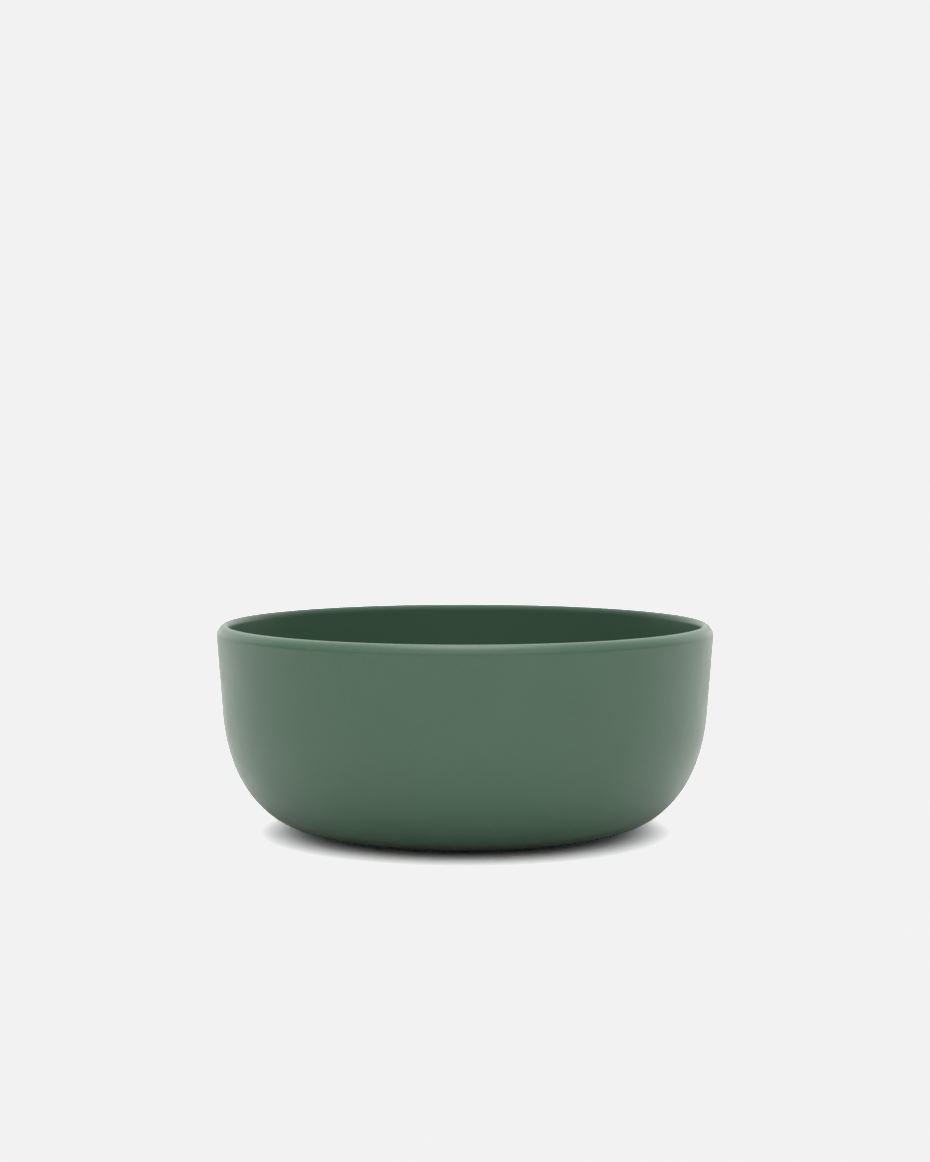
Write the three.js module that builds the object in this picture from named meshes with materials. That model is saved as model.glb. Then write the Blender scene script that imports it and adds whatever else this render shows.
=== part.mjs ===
// A round mixing bowl, 240 mm across and 100 mm high. Lengths are in millimetres, and +Z is up.
//
// The bowl is one thick-walled moulding. Its wall leans outwards by a few degrees to a rounded lip,
// and a long soft corner carries the wall into a flat base. Under the base, a flat silicone ring
// is bonded into a groove. It stands a little proud, so the bowl rests on the ring and doesn't slide.
// The origin is on the bowl's axis, at the level of the surface that it stands on.

import * as THREE from "three";

// The bowl.
const RIM_DIAMETER = 240;
const HEIGHT = 100; // from the ring's sole to the top of the lip
const WALL = 6; // width of the lip, and thickness of the wall below it
const FLOOR = 6; // thickness of the base
const DRAFT = THREE.MathUtils.degToRad(4.27); // how far the wall leans from upright

// The lip is wide and soft outside its crest, and turns quickly into the wall. Its outer half is a
// Bezier curve with a long handle at the crest and a short one at the wall. Its narrower inner half is
// a quarter ellipse.
const LIP_OUTER_WIDTH = 4; // from the crest out to the rim
const LIP_OUTER_DROP = 4.4; // from the crest down to the top of the wall
const LIP_TOP_HANDLE = 2;
const LIP_WALL_HANDLE = 0.6;
const LIP_INNER_WIDTH = WALL - LIP_OUTER_WIDTH;
const LIP_INNER_DROP = 3.8;

// The corner between wall and base is a Bezier curve. Each of its two handles reaches a set share of
// the way to the point where the wall's line and the base's line meet.
const BASE_RADIUS = 68; // where the flat of the base ends
const CORNER_TOP = 58; // height at which the straight wall ends
const OUTER_FULLNESS = 0.626; // the handles' share, outside
const INNER_FULLNESS = 0.6; // a little less inside, where the corner is thicker than the wall

// The ring, the groove that holds it, and the shallow hollow inside it.
const RING_RADIUS = 59; // to the middle of its section
const RING_WIDTH = 6;
const RING_PROUD = 1; // how far it lifts the base
const RING_EDGE = 0.8; // rounding of the sole's two edges
const GROOVE_DEPTH = 2;
const GLUE_GAP = 0.3; // the adhesive's thickness, all round the ring
const HOLLOW_RADIUS = 50;
const HOLLOW_DEPTH = 1.5;
const HOLLOW_SLOPE = 3; // width of the hollow's sloping edge

// How finely the curves are cut up.
const SIDES = 72;
const CORNER_STEPS = 12;
const LIP_STEPS = 5; // in each of its two halves
const EDGE_STEPS = 3;

const RIM_RADIUS = RIM_DIAMETER / 2;
const BASE_LEVEL = RING_PROUD;
const FLOOR_LEVEL = BASE_LEVEL + FLOOR;

function point(radius, height) {
  return new THREE.Vector2(radius, height);
}

// A solid of revolution about Z, from an outline that runs anticlockwise round its section.
function revolve(outline) {
  const geometry = new THREE.LatheGeometry(outline, SIDES);
  geometry.rotateX(Math.PI / 2);
  return geometry;
}

// Where the leaning line through a point of the wall reaches a height.
function alongWall(wallPoint, height) {
  return point(wallPoint.x - (wallPoint.y - height) * Math.tan(DRAFT), height);
}

// A corner, from the end of a flat to the end of the straight wall.
function cornerCurve(flatEnd, wallEnd, fullness) {
  const meeting = alongWall(wallEnd, flatEnd.y);
  const flatHandle = flatEnd.clone().lerp(meeting, fullness);
  const wallHandle = wallEnd.clone().lerp(meeting, fullness);
  return new THREE.CubicBezierCurve(flatEnd, flatHandle, wallHandle, wallEnd);
}

// The outer half of the lip, from the top of the wall up to the crest.
function outerLipCurve() {
  const crest = point(RIM_RADIUS - LIP_OUTER_WIDTH, HEIGHT);
  const crestHandle = point(crest.x + LIP_TOP_HANDLE, HEIGHT);
  const wallHandle = point(RIM_RADIUS, HEIGHT - LIP_OUTER_DROP + LIP_WALL_HANDLE);
  const wallTop = alongWall(wallHandle, HEIGHT - LIP_OUTER_DROP);
  return new THREE.CubicBezierCurve(wallTop, wallHandle, crestHandle, crest);
}

// The inner half, from the crest down to where the ellipse has the wall's lean.
function innerLipCurve() {
  const crestRadius = RIM_RADIUS - LIP_OUTER_WIDTH;
  const centreHeight = HEIGHT - LIP_INNER_DROP;
  const wallAngle = Math.PI - Math.atan((Math.tan(DRAFT) * LIP_INNER_DROP) / LIP_INNER_WIDTH);
  return new THREE.EllipseCurve(
    crestRadius, centreHeight, LIP_INNER_WIDTH, LIP_INNER_DROP, Math.PI / 2, wallAngle,
  );
}

// The bowl's section: along the underside with its hollow and groove, up the outside, over the lip,
// and down the inside to the middle of the floor.
function bowlOutline() {
  const grooveInside = RING_RADIUS - RING_WIDTH / 2 - GLUE_GAP;
  const grooveOutside = RING_RADIUS + RING_WIDTH / 2 + GLUE_GAP;
  const outerLip = outerLipCurve();
  const innerLip = innerLipCurve();
  const outerWallEnd = alongWall(outerLip.getPoint(0), CORNER_TOP);
  const innerWallEnd = alongWall(innerLip.getPoint(1), CORNER_TOP);
  const outerCorner = cornerCurve(point(BASE_RADIUS, BASE_LEVEL), outerWallEnd, OUTER_FULLNESS);
  const innerCorner = cornerCurve(point(BASE_RADIUS, FLOOR_LEVEL), innerWallEnd, INNER_FULLNESS);
  return [
    point(0, BASE_LEVEL + HOLLOW_DEPTH),
    point(HOLLOW_RADIUS - HOLLOW_SLOPE, BASE_LEVEL + HOLLOW_DEPTH),
    point(HOLLOW_RADIUS, BASE_LEVEL),
    point(grooveInside, BASE_LEVEL),
    point(grooveInside, BASE_LEVEL + GROOVE_DEPTH),
    point(grooveOutside, BASE_LEVEL + GROOVE_DEPTH),
    point(grooveOutside, BASE_LEVEL),
    ...outerCorner.getPoints(CORNER_STEPS),
    ...outerLip.getPoints(LIP_STEPS),
    ...innerLip.getPoints(LIP_STEPS).slice(1),
    ...innerCorner.getPoints(CORNER_STEPS).reverse(),
    point(0, FLOOR_LEVEL),
  ];
}

// The ring's section: its sole with two rounded edges, and square shoulders up in the groove.
function ringOutline() {
  const inside = RING_RADIUS - RING_WIDTH / 2;
  const outside = RING_RADIUS + RING_WIDTH / 2;
  const top = BASE_LEVEL + GROOVE_DEPTH - GLUE_GAP;
  const section = new THREE.Shape();
  section.moveTo(inside, top);
  section.lineTo(inside, RING_EDGE);
  section.absarc(inside + RING_EDGE, RING_EDGE, RING_EDGE, Math.PI, 1.5 * Math.PI);
  section.absarc(outside - RING_EDGE, RING_EDGE, RING_EDGE, 1.5 * Math.PI, 2 * Math.PI);
  section.lineTo(outside, top);
  section.closePath();
  return section.getPoints(EDGE_STEPS);
}

// Through-coloured moulded melamine, with a satin surface.
function bowlMaterial() {
  return new THREE.MeshStandardMaterial({ color: 0x46644f, roughness: 0.45, metalness: 0 });
}

// Dark green-grey silicone.
function siliconeMaterial() {
  return new THREE.MeshStandardMaterial({ color: 0x2e3832, roughness: 0.8, metalness: 0 });
}

function namedMesh(name, geometry, material) {
  const mesh = new THREE.Mesh(geometry, material);
  mesh.name = name;
  return mesh;
}

const mixingBowl = new THREE.Group();
mixingBowl.add(namedMesh("bowl", revolve(bowlOutline()), bowlMaterial()));
mixingBowl.add(namedMesh("non_slip_ring", revolve(ringOutline()), siliconeMaterial()));

export default mixingBowl;
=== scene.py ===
# A round mixing bowl of satin melamine on a silicone non-slip ring, in soft studio light on a pale
# floor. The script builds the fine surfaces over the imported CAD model, in metres, with +Z up.

import math

import bmesh
import bpy
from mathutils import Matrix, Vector
from mathutils.geometry import interpolate_bezier


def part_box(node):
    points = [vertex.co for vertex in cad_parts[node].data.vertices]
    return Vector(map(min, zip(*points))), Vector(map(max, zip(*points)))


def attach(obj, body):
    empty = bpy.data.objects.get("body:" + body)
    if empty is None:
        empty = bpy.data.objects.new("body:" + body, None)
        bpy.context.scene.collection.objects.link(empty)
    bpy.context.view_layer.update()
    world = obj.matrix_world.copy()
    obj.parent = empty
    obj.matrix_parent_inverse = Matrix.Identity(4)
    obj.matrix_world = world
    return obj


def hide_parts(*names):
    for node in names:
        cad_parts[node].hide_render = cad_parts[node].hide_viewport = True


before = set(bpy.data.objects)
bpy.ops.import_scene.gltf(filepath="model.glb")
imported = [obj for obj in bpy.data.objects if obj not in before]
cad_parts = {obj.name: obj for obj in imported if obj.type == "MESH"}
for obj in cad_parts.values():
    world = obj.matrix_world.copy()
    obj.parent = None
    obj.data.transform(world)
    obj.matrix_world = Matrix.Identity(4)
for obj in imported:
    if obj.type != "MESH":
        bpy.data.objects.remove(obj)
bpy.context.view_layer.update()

MM = 0.001

# Sizes that the CAD model gives.
bowl_low, bowl_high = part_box("bowl")
_, ring_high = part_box("non_slip_ring")
RIM_RADIUS = round(bowl_high.x, 4)  # the lip's curve stays a few hundredths of a millimetre inside it
HEIGHT = round(bowl_high.z, 4)
BASE_LEVEL = bowl_low.z
RING_OUTSIDE = ring_high.x

# Sizes of the two sections, as in the CAD model.
WALL = 6 * MM
FLOOR = 6 * MM
DRAFT = math.radians(4.27)
LIP_OUTER_WIDTH = 4 * MM
LIP_OUTER_DROP = 4.4 * MM
LIP_TOP_HANDLE = 2 * MM
LIP_WALL_HANDLE = 0.6 * MM
LIP_INNER_WIDTH = WALL - LIP_OUTER_WIDTH
LIP_INNER_DROP = 3.8 * MM
BASE_RADIUS = 68 * MM
CORNER_TOP = 58 * MM
OUTER_FULLNESS = 0.626
INNER_FULLNESS = 0.6
RING_WIDTH = 6 * MM
RING_EDGE = 0.8 * MM
GROOVE_DEPTH = 2 * MM
GLUE_GAP = 0.3 * MM
HOLLOW_RADIUS = 50 * MM
HOLLOW_DEPTH = 1.5 * MM
HOLLOW_SLOPE = 3 * MM

# Fine shapes that the CAD model leaves out.
HOLLOW_ROUNDING = 1.2 * MM
GROOVE_ROUNDING = 0.25 * MM
RING_ROUNDING = 0.12 * MM  # of the ring's small corners
SOLE_GROOVE_WIDTH = 0.7 * MM
SOLE_GROOVE_DEPTH = 0.35 * MM
SOLE_GROOVE_PITCH = 1.5 * MM
SOLE_GROOVE_TAPER = 0.15  # how far each side leans in, as a share of the width

# How finely the curves are cut up.
SIDES = 240
CORNER_STEPS = 40
LIP_STEPS = 14
ROUNDING_STEPS = 4
FLOOR_SIDES = 64

# The camera stands in front of the bowl's middle, a little above it, and looks slightly down. The
# distance and the height are in metres.
CAMERA_DISTANCE = 1.2135
CAMERA_HEIGHT = 0.2024
CAMERA_DOWN = math.radians(3.878)
LENS_MM = 77.93
SENSOR_MM = 36

# Colours, linear, and refractive indices.
MELAMINE = (0.065, 0.133, 0.081)
SILICONE = (0.027, 0.04, 0.032)
DUST = (0.09, 0.1, 0.09)
WHITE = (1, 1, 1)
MELAMINE_IOR = 1.5
SILICONE_IOR = 1.41

# Surface of the melamine.
GLOSS_ROUGHNESS = 0.315
SMUDGE_ROUGHNESS = 0.03  # how much handling raises or lowers it
WORN_ROUGHNESS = 0.42  # on the crest of the lip
SCUFFED_ROUGHNESS = 0.6  # where the base meets the table
CREST_WEAR_DEPTH = 2.5 * MM
BASE_WEAR_DEPTH = 2 * MM
WAVE_HEIGHT = 0.03 * MM  # slow unevenness of the moulded wall
PEEL_HEIGHT = 0.0015 * MM  # fine orange peel
TURNING_HEIGHT = 0.0008 * MM  # rings that the mould was turned with

# Its colour. A tone is a factor on the melamine's own colour, and a share is how much of it is mixed in.
CLOUD_TONES = (0.95, 1.05)
GRAIN_TONE = 1.1
GRAIN_SHARE = 0.3
WORN_TONE = 1.15
WORN_SHARE = 0.3
SCUFFED_TONE = 1.6
SCUFFED_SHARE = 0.6

# Surface of the silicone.
SILICONE_ROUGHNESS = (0.7, 0.85)
SILICONE_GRAIN_HEIGHT = 0.01 * MM
DUST_SHARE = 0.5

# The patterns' fineness, in noise cells to the metre.
CLOUD_SCALE = 20
WAVE_SCALE = 30
SMUDGE_SCALE = 45
GRAIN_SCALE = 500
PEEL_SCALE = 900
TURNING_SCALE = 1500
PATCH_SCALE = 300
DUST_SCALE = 900
SILICONE_GRAIN_SCALE = 2500

# The stretches of a noise's values, from 0 to 1, over which a pattern fades in.
NARROW = (0.35, 0.65)
WIDE = (0.3, 0.7)
SCUFF_STRETCH = (0.4, 0.65)
DUST_STRETCH = (0.5, 0.8)
WORN_LOW = 0.6  # the least wear on the crest's top

# Light and backdrop. All levels are linear, and all directions are parts of a unit vector, so the sine
# of an elevation is its upward part.
BACKDROP_LEVEL = 0.888  # the picture's white: brighter floor is clipped to it
COMBINED_CURVE = 3  # of the picture's four level curves, the one for all three colours together
FRONT_LEVEL = 0.2  # the dim room on the camera's side
BACK_LEVEL = 1.5  # the lit backdrop behind the bowl
ROOM_TURNS = (0.05, 1.0)  # the backward parts at which the dim room ends and the backdrop is full
STRIP_LEVEL = 1.1  # a broad soft light overhead, strongest along the middle from front to back
STRIP_REACH = 1.6  # the sideways part at which it would end: over 1, so it never quite does
STRIP_RISE = (0.2, 0.8)  # the upward parts at which it begins and is full
TOP_LEVEL = 4.8  # its hot middle, straight above
TOP_EDGE = 0.92  # the upward part at which that begins
FLOOR_RADIUS = 6.0
FLOOR_LEVEL = -0.05 * MM  # just clear of the ring's sole
FLOOR_GREY = 0.8
FLOOR_TINT = (1.0, 0.955, 0.99)  # as it is shown, against the green that the bowl throws into its shadow
FLOOR_EXPOSURE = 2.85  # how much brighter the floor is shown than it lights the bowl


def point(radius, height):
    return Vector((radius, height))


def bezier(start, start_handle, end_handle, end, steps):
    return [Vector(p) for p in interpolate_bezier(start, start_handle, end_handle, end, steps + 1)]


def along_wall(wall_point, height):
    """Where the leaning line through a point of the wall reaches a height."""
    return point(wall_point.x - (wall_point.y - height) * math.tan(DRAFT), height)


def corner(flat_end, wall_end, fullness):
    """The soft corner, from the end of a flat to the end of the straight wall."""
    meeting = along_wall(wall_end, flat_end.y)
    flat_handle = flat_end.lerp(meeting, fullness)
    wall_handle = wall_end.lerp(meeting, fullness)
    return bezier(flat_end, flat_handle, wall_handle, wall_end, CORNER_STEPS)


def outer_lip():
    """The lip's soft outer half, from the top of the wall up to the crest."""
    crest = point(RIM_RADIUS - LIP_OUTER_WIDTH, HEIGHT)
    wall_handle = point(RIM_RADIUS, HEIGHT - LIP_OUTER_DROP + LIP_WALL_HANDLE)
    wall_top = along_wall(wall_handle, HEIGHT - LIP_OUTER_DROP)
    return bezier(wall_top, wall_handle, crest + point(LIP_TOP_HANDLE, 0), crest, LIP_STEPS)


def inner_lip():
    """The lip's inner half, a quarter ellipse from the crest down to where it has the wall's lean."""
    centre = point(RIM_RADIUS - LIP_OUTER_WIDTH, HEIGHT - LIP_INNER_DROP)
    start = math.pi / 2
    end = math.pi - math.atan(math.tan(DRAFT) * LIP_INNER_DROP / LIP_INNER_WIDTH)
    angles = [start + (end - start) * i / LIP_STEPS for i in range(LIP_STEPS + 1)]
    return [centre + point(LIP_INNER_WIDTH * math.cos(a), LIP_INNER_DROP * math.sin(a)) for a in angles]


def rounded(before, at, after, size):
    """A corner between two straight stretches, rounded over a distance of size along each."""
    start = at + (before - at).normalized() * size
    end = at + (after - at).normalized() * size
    return bezier(start, start.lerp(at, 2 / 3), end.lerp(at, 2 / 3), end, ROUNDING_STEPS)


def rounded_line(corners):
    """A line through (point, rounding) pairs, with the first and last points left as they are."""
    points = [corners[0][0]]
    for (before, _), (at, size), (after, _) in zip(corners, corners[1:], corners[2:]):
        points += rounded(before, at, after, size)
    return points + [corners[-1][0]]


def bowl_section():
    """The bowl's section, from the middle of its underside round to the middle of its floor."""
    hollow_level = BASE_LEVEL + HOLLOW_DEPTH
    groove_level = BASE_LEVEL + GROOVE_DEPTH
    floor_level = BASE_LEVEL + FLOOR
    groove_outside = RING_OUTSIDE + GLUE_GAP
    groove_inside = RING_OUTSIDE - RING_WIDTH - GLUE_GAP
    base_end = point(BASE_RADIUS, BASE_LEVEL)
    underside = rounded_line([
        (point(0, hollow_level), 0),
        (point(HOLLOW_RADIUS - HOLLOW_SLOPE, hollow_level), HOLLOW_ROUNDING),
        (point(HOLLOW_RADIUS, BASE_LEVEL), HOLLOW_ROUNDING),
        (point(groove_inside, BASE_LEVEL), GROOVE_ROUNDING),
        (point(groove_inside, groove_level), GROOVE_ROUNDING),
        (point(groove_outside, groove_level), GROOVE_ROUNDING),
        (point(groove_outside, BASE_LEVEL), GROOVE_ROUNDING),
        (base_end, 0),
    ])
    rim = outer_lip() + inner_lip()[1:]
    outer_corner = corner(base_end, along_wall(rim[0], CORNER_TOP), OUTER_FULLNESS)
    inner_corner = corner(
        point(BASE_RADIUS, floor_level), along_wall(rim[-1], CORNER_TOP), INNER_FULLNESS
    )
    return underside[:-1] + outer_corner + rim + inner_corner[::-1] + [point(0, floor_level)]


def ring_section():
    """The ring's section, round from its top: square shoulders, rounded edges and a grooved sole."""
    outside = RING_OUTSIDE
    inside = outside - RING_WIDTH
    middle = (inside + outside) / 2
    top = BASE_LEVEL + GROOVE_DEPTH - GLUE_GAP
    corners = [(point(middle, top), 0), (point(inside, top), RING_ROUNDING)]
    corners.append((point(inside, 0), RING_EDGE))
    for groove in (middle - SOLE_GROOVE_PITCH / 2, middle + SOLE_GROOVE_PITCH / 2):
        for side, level in ((-1, 0), (-1, 1), (1, 1), (1, 0)):
            taper = SOLE_GROOVE_TAPER * SOLE_GROOVE_WIDTH * level
            radius = groove + side * (SOLE_GROOVE_WIDTH / 2 - taper)
            corners.append((point(radius, SOLE_GROOVE_DEPTH * level), RING_ROUNDING))
    corners.append((point(outside, 0), RING_EDGE))
    corners.append((point(outside, top), RING_ROUNDING))
    corners.append((point(middle, top), 0))
    return rounded_line(corners)[:-1]


def turn(name, section, closed):
    """A piece turned about Z from a section. An open section starts and ends on the axis."""
    mesh = bmesh.new()
    rows = []
    for p in section:
        angles = [2 * math.pi * i / SIDES for i in range(SIDES)] if p.x > 0 else [0]
        rows.append([mesh.verts.new((p.x * math.cos(a), p.x * math.sin(a), p.y)) for a in angles])
    pairs = list(zip(rows, rows[1:]))
    if closed:
        pairs.append((rows[-1], rows[0]))
    for lower, upper in pairs:
        for i in range(SIDES):
            j = (i + 1) % SIDES
            corners = [row[k % len(row)] for row, k in ((lower, i), (lower, j), (upper, j), (upper, i))]
            mesh.faces.new(dict.fromkeys(corners))  # a row on the axis has one point, which counts once
    bmesh.ops.recalc_face_normals(mesh, faces=mesh.faces)
    for face in mesh.faces:
        face.smooth = True
    data = bpy.data.meshes.new(name)
    mesh.to_mesh(data)
    mesh.free()
    piece = bpy.data.objects.new(name, data)
    bpy.context.scene.collection.objects.link(piece)
    piece.modifiers.new("even_shading", "WEIGHTED_NORMAL")
    return piece


class Nodes:
    """Short calls for building the nodes of a material or of the world."""

    def __init__(self, owner):
        self.tree = owner.node_tree

    def set(self, node, inputs):
        for key, value in inputs.items():
            if isinstance(value, bpy.types.NodeSocket):
                self.tree.links.new(value, node.inputs[key])
            else:
                node.inputs[key].default_value = value
        return node

    def new(self, kind, inputs):
        return self.set(self.tree.nodes.new(kind), inputs)

    def texture_place(self, kind="Object"):
        return self.new("ShaderNodeTexCoord", {}).outputs[kind]

    def noise(self, scale, detail, roughness=0.5):
        place = self.texture_place()
        inputs = {"Vector": place, "Scale": scale, "Detail": detail, "Roughness": roughness}
        return self.new("ShaderNodeTexNoise", inputs).outputs["Fac"]

    def height(self):
        return self.new("ShaderNodeSeparateXYZ", {"Vector": self.texture_place()}).outputs["Z"]

    def ring_noise(self, scale, detail):
        """Uneven rings about the axis: noise that changes only outwards and upwards."""
        split = self.new("ShaderNodeSeparateXYZ", {"Vector": self.texture_place()})
        across = self.math("POWER", split.outputs["X"], 2.0)
        along = self.math("POWER", split.outputs["Y"], 2.0)
        radius = self.math("SQRT", self.math("ADD", across, along))
        place = self.math("ADD", radius, split.outputs["Z"])
        node = self.new("ShaderNodeTexNoise", {})
        node.noise_dimensions = "1D"
        return self.set(node, {"W": place, "Scale": scale, "Detail": detail}).outputs["Fac"]

    def spread(self, value, low, high, from_low, from_high):
        """Goes from low to high as value goes from from_low to from_high, and no further."""
        inputs = {
            "Value": value,
            "From Min": from_low,
            "From Max": from_high,
            "To Min": low,
            "To Max": high,
        }
        return self.new("ShaderNodeMapRange", inputs).outputs["Result"]

    def soft_spread(self, value, low, high, from_low, from_high):
        """The same, easing in and out at the two ends."""
        spread = self.spread(value, low, high, from_low, from_high)
        spread.node.interpolation_type = "SMOOTHSTEP"
        return spread

    def math(self, operation, first, second=0.0):
        node = self.new("ShaderNodeMath", {})
        node.operation = operation
        return self.set(node, {0: first, 1: second}).outputs[0]

    def mix(self, share, first, second):
        """The first colour, with a share of the second mixed in."""
        node = self.new("ShaderNodeMix", {})
        node.data_type = "RGBA"
        return self.set(node, {"Factor": share, "A": first, "B": second}).outputs["Result"]

    def blend(self, share, first, second):
        """The same for two numbers."""
        node = self.new("ShaderNodeMix", {})
        return self.set(node, {"Factor": share, "A": first, "B": second}).outputs["Result"]

    def bump(self, height, distance, normal=None):
        inputs = {"Height": height, "Distance": distance, "Strength": 1.0}
        if normal is not None:
            inputs["Normal"] = normal
        return self.new("ShaderNodeBump", inputs).outputs["Normal"]

    def shade(self, inputs):
        return self.set(self.tree.nodes["Principled BSDF"], inputs)


def new_material(name):
    material = bpy.data.materials.new(name)
    material.use_nodes = True
    return material


def tone(colour, factor=1.0):
    """A colour times a factor, with the opacity that a colour socket wants."""
    return (*[factor * c for c in colour], 1.0)


def melamine():
    """Through-coloured moulded plastic: satin, a little uneven, worn on the lip, scuffed at the base."""
    material = new_material("bowl_melamine")
    nodes = Nodes(material)
    height = nodes.height()
    grain = nodes.noise(GRAIN_SCALE, detail=3)

    crest = nodes.soft_spread(height, 0.0, 1.0, HEIGHT - CREST_WEAR_DEPTH, HEIGHT)
    worn = nodes.math("MULTIPLY", crest, nodes.spread(grain, WORN_LOW, 1.0, *NARROW))
    base = nodes.soft_spread(height, 1.0, 0.0, BASE_LEVEL, BASE_LEVEL + BASE_WEAR_DEPTH)
    scuffed = nodes.math("MULTIPLY", base, nodes.spread(grain, 0.0, 1.0, *SCUFF_STRETCH))

    clouds = nodes.noise(CLOUD_SCALE, detail=3)
    speckled = nodes.spread(grain, 0.0, GRAIN_SHARE, *WIDE)
    colour = nodes.mix(clouds, *[tone(MELAMINE, factor) for factor in CLOUD_TONES])
    colour = nodes.mix(speckled, colour, tone(MELAMINE, GRAIN_TONE))
    paled = nodes.math("MULTIPLY", worn, WORN_SHARE)
    colour = nodes.mix(paled, colour, tone(MELAMINE, WORN_TONE))
    scratched = nodes.math("MULTIPLY", scuffed, SCUFFED_SHARE)
    colour = nodes.mix(scratched, colour, tone(MELAMINE, SCUFFED_TONE))

    smudges = nodes.noise(SMUDGE_SCALE, detail=5, roughness=0.6)
    low, high = GLOSS_ROUGHNESS - SMUDGE_ROUGHNESS, GLOSS_ROUGHNESS + SMUDGE_ROUGHNESS
    roughness = nodes.spread(smudges, low, high, *NARROW)
    roughness = nodes.blend(worn, roughness, WORN_ROUGHNESS)
    roughness = nodes.blend(scuffed, roughness, SCUFFED_ROUGHNESS)

    surface = nodes.bump(nodes.noise(WAVE_SCALE, detail=1), WAVE_HEIGHT)
    surface = nodes.bump(nodes.noise(PEEL_SCALE, detail=1), PEEL_HEIGHT, surface)
    surface = nodes.bump(nodes.ring_noise(TURNING_SCALE, detail=3), TURNING_HEIGHT, surface)
    nodes.shade({"Base Color": colour, "Roughness": roughness, "Normal": surface, "IOR": MELAMINE_IOR})
    return material


def silicone():
    """Matt moulded silicone with a film of dust."""
    material = new_material("ring_silicone")
    nodes = Nodes(material)
    dust = nodes.spread(nodes.noise(DUST_SCALE, detail=4), 0.0, DUST_SHARE, *DUST_STRETCH)
    colour = nodes.mix(dust, tone(SILICONE), tone(DUST))
    roughness = nodes.spread(nodes.noise(PATCH_SCALE, detail=3), *SILICONE_ROUGHNESS, *WIDE)
    surface = nodes.bump(nodes.noise(SILICONE_GRAIN_SCALE, detail=2), SILICONE_GRAIN_HEIGHT)
    nodes.shade({"Base Color": colour, "Roughness": roughness, "Normal": surface, "IOR": SILICONE_IOR})
    return material


def pale_floor():
    """A matt floor, over-exposed in the picture, so that only the darkest of its shadow is left."""
    material = new_material("pale_floor")
    nodes = Nodes(material)
    seen = nodes.new("ShaderNodeLightPath", {}).outputs["Is Camera Ray"]
    colour = nodes.mix(seen, tone(WHITE, FLOOR_GREY), tone(FLOOR_TINT, FLOOR_GREY * FLOOR_EXPOSURE))
    nodes.shade({"Base Color": colour, "Roughness": 1.0, "Specular IOR Level": 0.0})
    return material


def add_floor():
    mesh = bmesh.new()
    bmesh.ops.create_circle(mesh, cap_ends=True, segments=FLOOR_SIDES, radius=FLOOR_RADIUS)
    data = bpy.data.meshes.new("floor")
    mesh.to_mesh(data)
    mesh.free()
    floor = bpy.data.objects.new("floor", data)
    bpy.context.scene.collection.objects.link(floor)
    data.materials.append(pale_floor())
    floor.location.z = FLOOR_LEVEL


def add_surround():
    """The studio round the bowl: dim towards the camera, pale behind, and a broad soft light above."""
    world = bpy.data.worlds.new("surround")
    bpy.context.scene.world = world
    world.use_nodes = True
    nodes = Nodes(world)
    split = nodes.new("ShaderNodeSeparateXYZ", {"Vector": nodes.texture_place("Generated")})
    side = nodes.math("ABSOLUTE", split.outputs["X"])
    back, up = split.outputs["Y"], split.outputs["Z"]
    room = nodes.soft_spread(back, FRONT_LEVEL, BACK_LEVEL, *ROOM_TURNS)
    strip = nodes.math(
        "MULTIPLY",
        nodes.soft_spread(side, STRIP_LEVEL, 0.0, 0.0, STRIP_REACH),
        nodes.soft_spread(up, 0.0, 1.0, *STRIP_RISE),
    )
    top = nodes.soft_spread(up, 0.0, TOP_LEVEL, TOP_EDGE, 1.0)
    light = nodes.math("ADD", nodes.math("ADD", room, strip), top)
    seen = nodes.new("ShaderNodeLightPath", {}).outputs["Is Camera Ray"]
    level = nodes.mix(seen, light, tone(WHITE, BACKDROP_LEVEL))
    nodes.set(nodes.tree.nodes["Background"], {"Color": level})


def add_camera():
    data = bpy.data.cameras.new("camera")
    data.sensor_width = SENSOR_MM
    data.lens = LENS_MM
    camera = bpy.data.objects.new("camera", data)
    camera.location = (0, -CAMERA_DISTANCE, CAMERA_HEIGHT)
    camera.rotation_euler = (math.radians(90) - CAMERA_DOWN, 0, 0)
    bpy.context.scene.collection.objects.link(camera)
    bpy.context.scene.camera = camera


def set_picture_levels():
    """Clips whatever is brighter than the backdrop to its level, as an over-lit studio floor is."""
    view = bpy.context.scene.view_settings
    view.view_transform = "Standard"
    view.look = "None"
    view.use_curve_mapping = True
    mapping = view.curve_mapping
    mapping.extend = "HORIZONTAL"
    curve = mapping.curves[COMBINED_CURVE]
    curve.points[1].location = (1, BACKDROP_LEVEL)
    curve.points.new(BACKDROP_LEVEL, BACKDROP_LEVEL)
    for p in curve.points:
        p.handle_type = "VECTOR"
    mapping.update()


bowl = turn("bowl_body", bowl_section(), closed=False)
bowl.data.materials.append(melamine())
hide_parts("bowl")
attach(bowl, "root")

ring = turn("ring", ring_section(), closed=True)
ring.data.materials.append(silicone())
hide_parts("non_slip_ring")
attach(ring, "root")

add_floor()
add_surround()
add_camera()
set_picture_levels()
